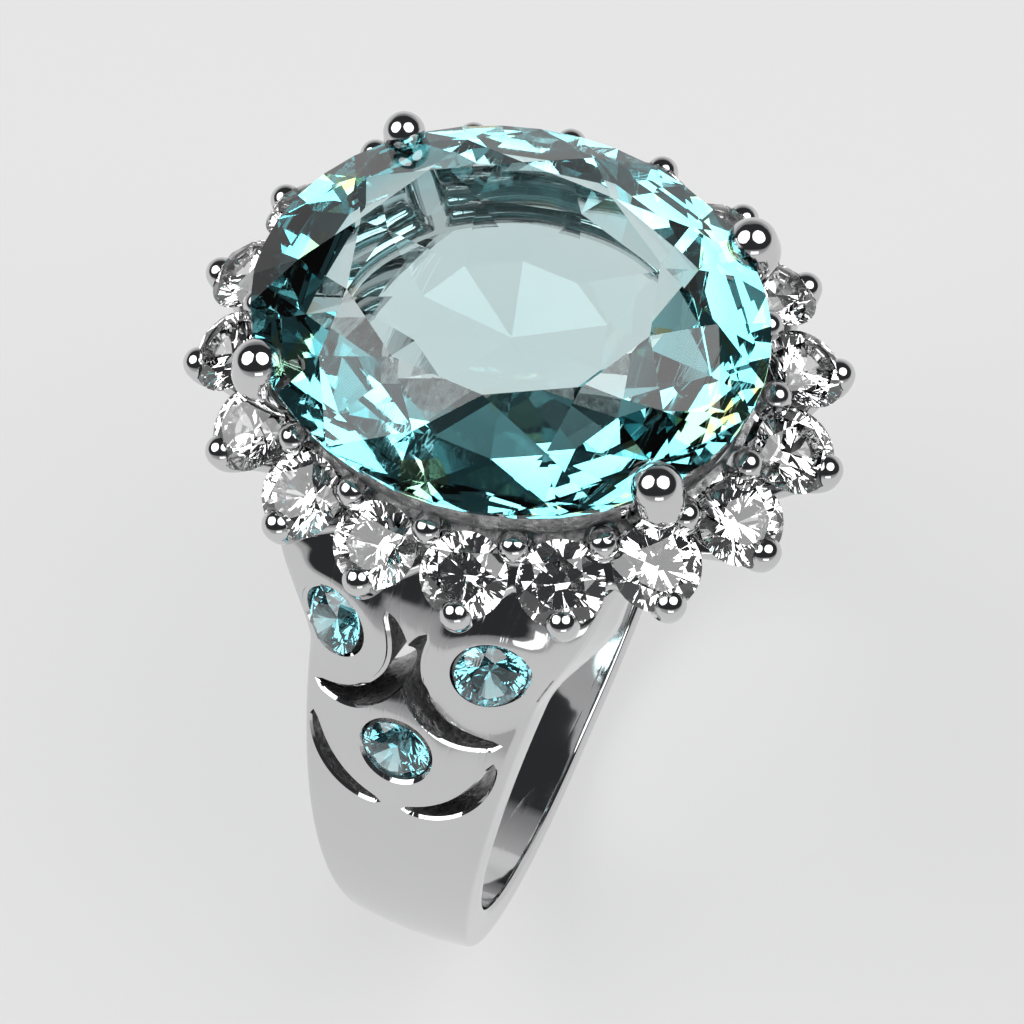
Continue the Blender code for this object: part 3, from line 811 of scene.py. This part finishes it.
def shoulder_frames(side):
    """Name and frame of the girdle of each stone of one shoulder."""
    frames = {}
    for word, angle, along, lean in SHOULDER_STONES:
        radius = band_radius(angle, along / half_width_at(angle)) + STONE_STAND
        place = band_point(angle, radius, along, side)
        turn = math.radians(angle - STONE_TILT)
        facing = Vector((math.copysign(math.sin(lean), along) if along else 0.0,
                         side * math.sin(turn) * math.cos(lean), -math.cos(turn) * math.cos(lean)))
        frames[word] = frame_matrix(place, facing)
    return frames


def petal_rise(point, inverses):
    """How far the rounded petals round the shoulder stones stand above the plain shoulder."""
    room = 1.0
    for word, inverse in inverses.items():
        local = inverse @ point
        full, edge = PETALS[word]
        if abs(local.z) < PETAL_DEPTH:
            room *= smooth_step(full, edge, math.hypot(local.x, local.y))
    return PETAL_RISE * (1.0 - room)


def outer_radius_of(point, inverses):
    """Radius of the band's outer skin in the direction of a point."""
    angle = math.degrees(math.atan2(abs(point.y), -point.z))
    half = half_width_at(angle)
    across = max(-1.0, min(1.0, point.x / half))
    return band_radius(angle, across) + petal_rise(point, inverses)


def skin_height(matrix, x, y, inverses):
    """Height of the band's outer skin over a point of a stone's girdle plane."""
    low, high = -SKIN_SEARCH, SKIN_SEARCH
    for _ in range(24):
        middle = 0.5 * (low + high)
        point = matrix @ Vector((x, y, middle))
        if math.hypot(point.y, point.z) > outer_radius_of(point, inverses):
            high = middle
        else:
            low = middle
    return 0.5 * (low + high)


def plug(name, matrix, outline, normals, inverses, chamfer, depths, taper=0.0, upright=False):
    """A cutter with a given outline whose mouth flares where it meets the band's skin.

    depths gives the floor's depth at each point; taper draws the walls in towards the floor;
    upright walls do not lean along the finger as the stone does.
    """
    slide = matrix.col[2].x / matrix.col[0].x if upright else 0.0
    levels = ((None, -1.0, -taper), (-MOUTH_FLARE, None, 0.0), (0.0, None, MOUTH_FLARE),
              (1.2, None, MOUTH_FLARE))
    rings = []
    for over, fixed, flare in levels:
        ring = []
        for (x, y), (nx, ny), depth in zip(outline, normals, depths):
            wide_x = x + nx * chamfer * flare
            wide_y = y + ny * chamfer * flare
            if fixed is None:
                height = skin_height(matrix, x, y, inverses) + over * chamfer
                if over > 1.0:
                    height = max(height, 0.0) + 1.0
            else:
                height = fixed * depth
                wide_x += slide * depth
            ring.append(matrix @ Vector((wide_x, wide_y, height)))
        rings.append(ring)
    return loft(name, rings)


def round_plug(matrix, radius, inverses, chamfer=0.07, sides=48):
    turns = [2.0 * math.pi * k / sides for k in range(sides)]
    normals = [(math.cos(turn), math.sin(turn)) for turn in turns]
    outline = [(radius * x, radius * y) for x, y in normals]
    return plug("seat", matrix, outline, normals, inverses, chamfer, [CUT_DEPTH] * sides)


def crescent_plug(matrix, radii, width, start, end, inverses, chamfer=0.06):
    """A curved slot about a stone: thin at both ends, its radius drifting along it."""
    outline = []
    normals = []
    depths = []
    passes = [(k / SLOT_STEPS, 1.0) for k in range(SLOT_STEPS + 1)]
    passes += [(k / SLOT_STEPS, -1.0) for k in range(SLOT_STEPS - 1, 0, -1)]
    for share, flip in passes:
        angle = math.radians(start + (end - start) * share)
        radius = radii[0] + (radii[1] - radii[0]) * share
        reach = radius + flip * 0.5 * width * math.sqrt(max(0.0, math.sin(math.pi * share)))
        outline.append((reach * math.cos(angle), reach * math.sin(angle)))
        depths.append(CUT_DEPTH * (SLOT_END_DEPTH + (1.0 - SLOT_END_DEPTH)
                                   * math.sin(math.pi * share) ** 1.5))
        tip = 1.0 if share in (0.0, 1.0) else 0.0
        ahead = math.copysign(1.0, end - start) * (1.0 if share > 0.5 else -1.0) * tip
        normals.append((flip * (1.0 - tip) * math.cos(angle) - ahead * math.sin(angle),
                        flip * (1.0 - tip) * math.sin(angle) + ahead * math.cos(angle)))
    return plug("crescent", matrix, outline, normals, inverses, chamfer, depths, SLOT_TAPER, True)


def band_section(angle, side, inverses):
    """One closed section of the band, from the finger hole round the rims and over the outside."""
    half = half_width_at(angle)
    bore = in_mm(sizes().finger_radius)
    section = []
    for k in range(BORE_STEPS, -BORE_STEPS - 1, -1):
        along = k / BORE_STEPS * (half - BROKEN_EDGE)
        section.append(band_point(angle, bore, along, side))
    section += rim_points(angle, side, half, bore, -1.0)
    inset = 1.0 - BROKEN_EDGE / half
    for k in range(ACROSS_STEPS + 1):
        share = -inset + 2.0 * inset * k / ACROSS_STEPS
        radius = band_radius(angle, share)
        rise = petal_rise(band_point(angle, radius, share * half, side), inverses)
        section.append(band_point(angle, radius + rise, share * half, side))
    section += reversed(rim_points(angle, side, half, bore, 1.0))
    return section


def rim_points(angle, side, half, bore, sign):
    """The flat side of the band with its two broken corners, from the bore outwards."""
    points = []
    edge = BROKEN_EDGE
    rim = band_radius(angle, 1.0)
    for turn in (0.33, 0.67, 1.0):
        lift = edge * (1.0 - math.cos(0.5 * math.pi * turn))
        reach = half - edge + edge * math.sin(0.5 * math.pi * turn)
        points.append(band_point(angle, bore + lift, sign * reach, side))
    for share in (0.25, 0.5, 0.75):
        radius = bore + edge + share * (rim - bore - 2.0 * edge)
        points.append(band_point(angle, radius, sign * half, side))
    for turn in (1.0, 0.67, 0.33):
        drop = edge * (1.0 - math.sin(0.5 * math.pi * (1.0 - turn)))
        reach = half - edge * (1.0 - math.cos(0.5 * math.pi * (1.0 - turn)))
        points.append(band_point(angle, rim - drop, sign * reach, side))
    return points


def light_hole():
    bore = in_mm(sizes().finger_radius)
    turns = [2.0 * math.pi * k / 48 for k in range(48)]
    outline = [(LIGHT_HOLE[0] * math.cos(turn), LIGHT_HOLE[1] * math.sin(turn)) for turn in turns]
    return loft("light_hole", [[Vector((x, y, reach * bore)) for x, y in outline]
                               for reach in LIGHT_HOLE_REACH])


def mark_cast_walls_with_painted_shade(item, inverses_by_side):
    """Give the faces inside the piercings and the seats the cast finish, which paints them darker
    as shade.
    """
    bore = in_mm(sizes().finger_radius)
    for polygon in item.data.polygons:
        centre = polygon.center
        angle = math.degrees(math.atan2(abs(centre.y), -centre.z))
        if angle < CAST_SHADE_START or angle > CAST_SHADE_END:
            continue
        radius = math.hypot(centre.y, centre.z)
        outer = outer_radius_of(centre, inverses_by_side[-1.0 if centre.y < 0.0 else 1.0])
        inside = bore + CAST_SHADE_LIMITS[0] < radius < outer - CAST_SHADE_LIMITS[1]
        if inside and abs(centre.x) < half_width_at(angle) - CAST_SHADE_LIMITS[2]:
            polygon.material_index = 1


class RING_OT_shank(bpy.types.Operator):
    """Build the finger band with its flared and pierced shoulders"""
    bl_idname = "ring.shank"
    bl_label = "Shank"

    def execute(self, context):
        inverses = {}
        frames = {}
        for side in (-1.0, 1.0):
            frames[side] = shoulder_frames(side)
            inverses[side] = {word: matrix.inverted() for word, matrix in frames[side].items()}
        sections = []
        for k in range(2 * BAND_STEPS):
            turn = 180.0 * k / BAND_STEPS
            side = -1.0 if turn < 180.0 else 1.0
            angle = turn if turn < 180.0 else 360.0 - turn
            sections.append(band_section(angle, side, inverses[side]))
        shank = loft("shank_body", sections, closed=True)
        carve(shank, light_hole())
        radius = in_mm(sizes().shoulder_stone_radius)
        for side in (-1.0, 1.0):
            mirror = -side
            for matrix in frames[side].values():
                carve(shank, round_plug(matrix, radius + STONE_ROOM, inverses[side]))
            for word, reach, width, start, end in CRESCENTS:
                carve(shank, crescent_plug(frames[side][word], reach, width, mirror * start,
                                           mirror * end, inverses[side]))
        mark_cast_walls_with_painted_shade(shank, inverses)
        finish(shank, "silver_shank", (MATERIALS["silver"], MATERIALS["cast"]),
               ("shank",), sharp=32.0)
        return {"FINISHED"}


class RING_OT_shoulder_stones(bpy.types.Operator):
    """Set three small blue stones in each shoulder"""
    bl_idname = "ring.shoulder_stones"
    bl_label = "Shoulder stones"

    def execute(self, context):
        radius = in_mm(sizes().shoulder_stone_radius)
        for side, word in ((-1.0, "front"), (1.0, "back")):
            for place, matrix in shoulder_frames(side).items():
                name = f"shoulder_stone_{word}_{place}"
                item = round_cut("cut", radius, matrix)
                finish(item, "blue_" + name, (MATERIALS["shoulder"],), (name,))
        return {"FINISHED"}


# ---------------------------------------------------------------- halo

def cup():
    """One pointed cup about its stone."""
    sections = []
    for x, half, top, low in CUP_STATIONS:
        middle = 0.5 * (top + low)
        tall = 0.5 * (top - low)
        turns = [2.0 * math.pi * k / 20 for k in range(20)]
        sections.append([Vector((x, half * rounded(turn, 0.6)[0],
                                 middle + tall * rounded(turn, 0.5)[1])) for turn in turns])
    return loft("cup", sections)


def mark_cast_inner_side_with_painted_shade(item):
    """Give the inner side of the halo the cast finish, which paints it darker as shade."""
    size = sizes()
    long_half, short_half = in_mm(size.halo_half_length), in_mm(size.halo_half_width)
    for polygon in item.data.polygons:
        centre = polygon.center
        reach = math.hypot(centre.x / long_half, centre.y / short_half)
        if reach < CAST_SHADE_HALO_REACH:
            polygon.material_index = 1


class RING_OT_halo_frame(bpy.types.Operator):
    """Cast the oval frame of the halo with its cups, outer claws and shared inner claws"""
    bl_idname = "ring.halo_frame"
    bl_label = "Halo frame"

    def execute(self, context):
        claw = rod("claw", HALO_CLAW, HALO_CLAW_RADII)
        peg = rod("peg", HALO_PEG, HALO_PEG_RADII)
        parts = [round_the_halo(cup()), round_the_halo(claw), round_the_halo(peg, between=1)]
        halo = cast(join("halo_body", parts))
        radius = in_mm(sizes().halo_stone_radius)
        carve(halo, round_the_halo(round_cut("seat", radius, grow=SEAT_ROOM["halo"])))
        below = rod("below", ((0.0, 0.0, -1.7), (0.0, 0.0, -0.5)), (0.42, 0.42), dome=1)
        carve(halo, round_the_halo(below))
        mark_cast_inner_side_with_painted_shade(halo)
        finish(halo, "silver_halo_frame", (MATERIALS["silver"], MATERIALS["cast"]),
               ("halo_frame",), sharp=40.0)
        return {"FINISHED"}


class RING_OT_halo_stones(bpy.types.Operator):
    """Set eighteen round white stones round the halo"""
    bl_idname = "ring.halo_stones"
    bl_label = "Halo stones"

    def execute(self, context):
        stones = round_cut("stones", in_mm(sizes().halo_stone_radius))
        corners = len(stones.data.vertices)
        sides = [tuple(polygon.vertices) for polygon in stones.data.polygons]
        round_the_halo(stones, random_turn=math.radians(45.0), material=MATERIALS["white"])
        places = [vertex.co.copy() for vertex in stones.data.vertices]
        if len(places) != corners * HALO_COUNT:
            raise RuntimeError("the halo did not take one stone for each cup")
        remove(stones)
        for k in range(HALO_COUNT):
            name = f"halo_stone_{k + 1:02d}"
            item = body("cut", places[k * corners:(k + 1) * corners], sides)
            finish(item, "white_" + name, (MATERIALS["white"],), (name,))
        return {"FINISHED"}


# ---------------------------------------------------------------- centre

def oval_tube(name, half_width, height, radius_across, radius_up, power=1.0, steps=160, sides=20):
    """A closed oval tube with a rounded section."""
    sections = []
    for k in range(steps):
        turn = 2.0 * math.pi * k / steps
        out = Vector((math.cos(turn), math.sin(turn), 0.0))
        section = []
        for j in range(sides):
            roll = 2.0 * math.pi * j / sides
            across, up = rounded(roll, power)
            reach = half_width + across * radius_across
            section.append(Vector((OVAL * reach * out.x, reach * out.y, height + up * radius_up)))
        sections.append(section)
    return loft(name, sections, closed=True)


def claw_path(x_sign, y_sign):
    half = in_mm(sizes().centre_half_width)
    angle = math.radians(CLAW_ANGLES[(x_sign, y_sign)])
    press = CLAW_PRESS.get((x_sign, y_sign), (1.0, 1.0))[0]
    path = []
    for k, (share, height) in enumerate(CLAW_STEPS):
        reach = half * share * (press if k >= CLAW_TIP_STEP else 1.0)
        path.append(Vector((x_sign * OVAL * reach * math.cos(angle),
                            y_sign * reach * math.sin(angle), height)))
    return path


class RING_OT_centre_head(bpy.types.Operator):
    """Cast the four-claw head with its seat collar and foot rail"""
    bl_idname = "ring.centre_head"
    bl_label = "Centre head"

    def execute(self, context):
        middle = 0.5 * (COLLAR_Z[0] + COLLAR_Z[1])
        tall = 0.5 * (COLLAR_Z[1] - COLLAR_Z[0])
        parts = [oval_tube("collar", COLLAR_HALF_WIDTH - 0.5 * COLLAR_WALL, middle,
                           0.5 * COLLAR_WALL, tall, 0.5),
                 oval_tube("rail", RAIL_HALF_WIDTH, RAIL_Z, RAIL_RADIUS, RAIL_RADIUS)]
        for x_sign in (-1, 1):
            for y_sign in (-1, 1):
                slim = CLAW_PRESS.get((x_sign, y_sign), (1.0, 1.0))[1]
                radii = [radius * (slim if k >= CLAW_TIP_STEP else 1.0)
                         for k, radius in enumerate(CLAW_RADII)]
                parts.append(rod("claw", claw_path(x_sign, y_sign), radii, sides=28, dome=8))
        head = cast(join("head_body", parts))
        carve(head, centre_cut("seat", grow=SEAT_ROOM["centre"]))
        claw_steps = [step for signs in CLAW_ANGLES for step in claw_path(*signs)[2:]]
        for polygon in head.data.polygons:
            centre = polygon.center
            on_claw = any(math.hypot(centre.x - step.x, centre.y - step.y) < CLAW_KEEP
                          for step in claw_steps)
            # Painted shade: the collar under the stone, away from the claws, takes the darkened
            # cast finish.
            if CAST_SHADE_COLLAR_Z[0] < centre.z < CAST_SHADE_COLLAR_Z[1] and not on_claw:
                polygon.material_index = 1
        finish(head, "silver_centre_head", (MATERIALS["silver"], MATERIALS["cast"]),
               ("centre_head",), sharp=40.0)
        return {"FINISHED"}


class RING_OT_centre_stone(bpy.types.Operator):
    """Cut the large oval blue stone"""
    bl_idname = "ring.centre_stone"
    bl_label = "Centre stone"

    def execute(self, context):
        finish(centre_cut("stone"), "blue_centre_stone", (MATERIALS["centre"],),
               ("centre_stone",))
        return {"FINISHED"}


# ---------------------------------------------------------------- stage

CAMERA = {"azimuth": 30.3068, "elevation": 61.8736, "roll": -8.5619, "distance": 72.236,
          "lens": 100.31, "aim": (-0.5819, 4.5207)}   # millimetres and degrees


def camera_matrix():
    azimuth, elevation, roll = (math.radians(CAMERA[key])
                                for key in ("azimuth", "elevation", "roll"))
    right = Vector((math.cos(azimuth), math.sin(azimuth), 0.0))
    back = Vector((math.sin(azimuth) * math.cos(elevation),
                   -math.cos(azimuth) * math.cos(elevation), math.sin(elevation)))
    up = back.cross(right)
    across, height = CAMERA["aim"]
    place = right * across + UP * height + back * CAMERA["distance"]
    x_axis = right * math.cos(roll) + up * math.sin(roll)
    y_axis = up * math.cos(roll) - right * math.sin(roll)
    matrix = Matrix((x_axis, y_axis, back)).transposed().to_4x4()
    matrix.translation = place * MM
    return matrix


# Soft lamps: direction from the ring, half size in metres, shape and brightness
LAMPS = (("left_lamp", (-0.58, -0.21, 0.79), (0.20, 0.20), "ELLIPSE", 3.0),
         ("right_lamp", (0.457, 0.117, 0.882), (0.20, 0.20), "ELLIPSE", 3.0),
         ("low_card", (0.488, -0.848, 0.206), (0.12, 0.05), "RECTANGLE", 1.4))
LAMP_DISTANCE = 0.40
ROOM_AXIS = (0.92, 0.39, -0.07)   # the way that the long room runs
WALLS = ((0.50, 0.50, 0.505), (0.24, 0.24, 0.245))   # at the foot and at the top
WALL_SPAN = (0.02, 0.38)          # heights, as the sine of the angle above the horizon
CEILING = (0.035, 0.036, 0.038)
CEILING_SPAN = (0.38, 0.46)
CEILING_DROP = 0.40               # how much lower the ceiling comes at the room's two ends
SEEN_GROUND = (0.74, 0.74, 0.745)
FLOOR_HALF = 900.0
FLOOR_GLOW = 0.50                 # the floor is a lit table, which keeps its shadows faint


def studio_world():
    """Pale walls up to a dim ceiling, lower at the room's two ends; plain pale ground behind."""
    world = bpy.data.worlds.new("studio")
    world.use_nodes = True
    hand = ShaderTree(world.node_tree)
    way = hand.node("ShaderNodeTexCoord").outputs["Generated"]
    parts = hand.node("ShaderNodeSeparateXYZ", {"Vector": way})
    along = hand.node("ShaderNodeVectorMath", {0: way, 1: ROOM_AXIS}, operation="DOT_PRODUCT")
    ends = hand.maths("MULTIPLY", along.outputs["Value"], along.outputs["Value"])
    level = hand.maths("ADD", parts.outputs["Z"], hand.maths("MULTIPLY", ends, CEILING_DROP))
    walls = hand.mix(hand.ramp(parts.outputs["Z"], *WALL_SPAN), *WALLS)
    room = hand.mix(hand.ramp(level, *CEILING_SPAN), walls, CEILING)
    seen = hand.mix(hand.node("ShaderNodeLightPath").outputs["Is Camera Ray"], room, SEEN_GROUND)
    light = hand.node("ShaderNodeBackground", {"Color": seen, "Strength": 1.0})
    hand.node("ShaderNodeOutputWorld", {"Surface": light.outputs[0]})
    bpy.context.scene.world = world


class RING_OT_stage(bpy.types.Operator):
    """Set the pale floor, the soft studio light and the camera"""
    bl_idname = "ring.stage"
    bl_label = "Stage"

    def execute(self, context):
        low = CAD_BOX[0][2]
        floor = body("floor", [(x * FLOOR_HALF, y * FLOOR_HALF, 0.0) for x, y in
                               ((-1, -1), (1, -1), (1, 1), (-1, 1))], [(0, 1, 2, 3)])
        floor.data.transform(Matrix.Translation((0.0, 0.0, low)) @ Matrix.Scale(MM, 4))
        material, hand, shader, _ = new_material("floor")
        fibre = hand.node("ShaderNodeTexNoise", {"Vector": hand.place(), "Scale": 900.0,
                                                 "Detail": 2.0})
        tone = finishes().floor
        hand.feed(shader, {
            "Base Color": hand.mix(fibre.outputs["Fac"], shade(tone, 0.995), tone),
            "Roughness": 0.9, "Specular IOR Level": 0.0,
            "Emission Color": (1.0, 1.0, 1.0, 1.0), "Emission Strength": FLOOR_GLOW})
        floor.data.materials.append(material)
        studio_world()
        for name, way, half, shape, radiance in LAMPS:
            lamp = bpy.data.lights.new(name, "AREA")
            lamp.shape = shape
            lamp.size = 2.0 * half[0]
            lamp.size_y = 2.0 * half[1]
            area = 4.0 * half[0] * half[1] * (math.pi / 4.0 if shape == "ELLIPSE" else 1.0)
            lamp.energy = radiance * math.pi * area
            direction = Vector(way).normalized()
            placed(name, lamp).matrix_world = frame_matrix(direction * LAMP_DISTANCE, direction)
        camera = bpy.data.cameras.new("camera")
        camera.lens = CAMERA["lens"]
        camera.sensor_width = 36.0
        camera.clip_start = 0.001
        camera.clip_end = 10.0
        item = placed("camera", camera)
        item.matrix_world = camera_matrix()
        context.scene.camera = item
        context.scene.view_settings.view_transform = "Standard"
        return {"FINISHED"}


class RING_PT_sidebar(bpy.types.Panel):
    """Lists the ring's sizes, finishes and pieces"""
    bl_label = "Cocktail ring"
    bl_idname = "RING_PT_sidebar"
    bl_space_type = "VIEW_3D"
    bl_region_type = "UI"
    bl_category = "Ring"

    def draw(self, context):
        for settings in (sizes(), finishes()):
            box = self.layout.box()
            for key in settings.__annotations__:
                box.prop(settings, key)
        for operator in PIECE_OPERATORS:
            self.layout.operator(operator.bl_idname)


PIECE_OPERATORS = (RING_OT_shank, RING_OT_shoulder_stones, RING_OT_halo_frame, RING_OT_halo_stones,
                   RING_OT_centre_head, RING_OT_centre_stone, RING_OT_stage)
CLASSES = (RingSettings, FinishSettings) + PIECE_OPERATORS + (RING_PT_sidebar,)


def register():
    for item in CLASSES:
        bpy.utils.register_class(item)
    bpy.types.Scene.ring_sizes = bpy.props.PointerProperty(type=RingSettings)
    bpy.types.Scene.ring_finishes = bpy.props.PointerProperty(type=FinishSettings)


def unregister():
    del bpy.types.Scene.ring_finishes
    del bpy.types.Scene.ring_sizes
    for item in reversed(CLASSES):
        bpy.utils.unregister_class(item)


def main():
    register()
    make_materials()
    bpy.ops.ring.shank()
    bpy.ops.ring.shoulder_stones()
    bpy.ops.ring.halo_frame()
    bpy.ops.ring.halo_stones()
    bpy.ops.ring.centre_head()
    bpy.ops.ring.centre_stone()
    bpy.ops.ring.stage()


if __name__ == "__main__":
    main()
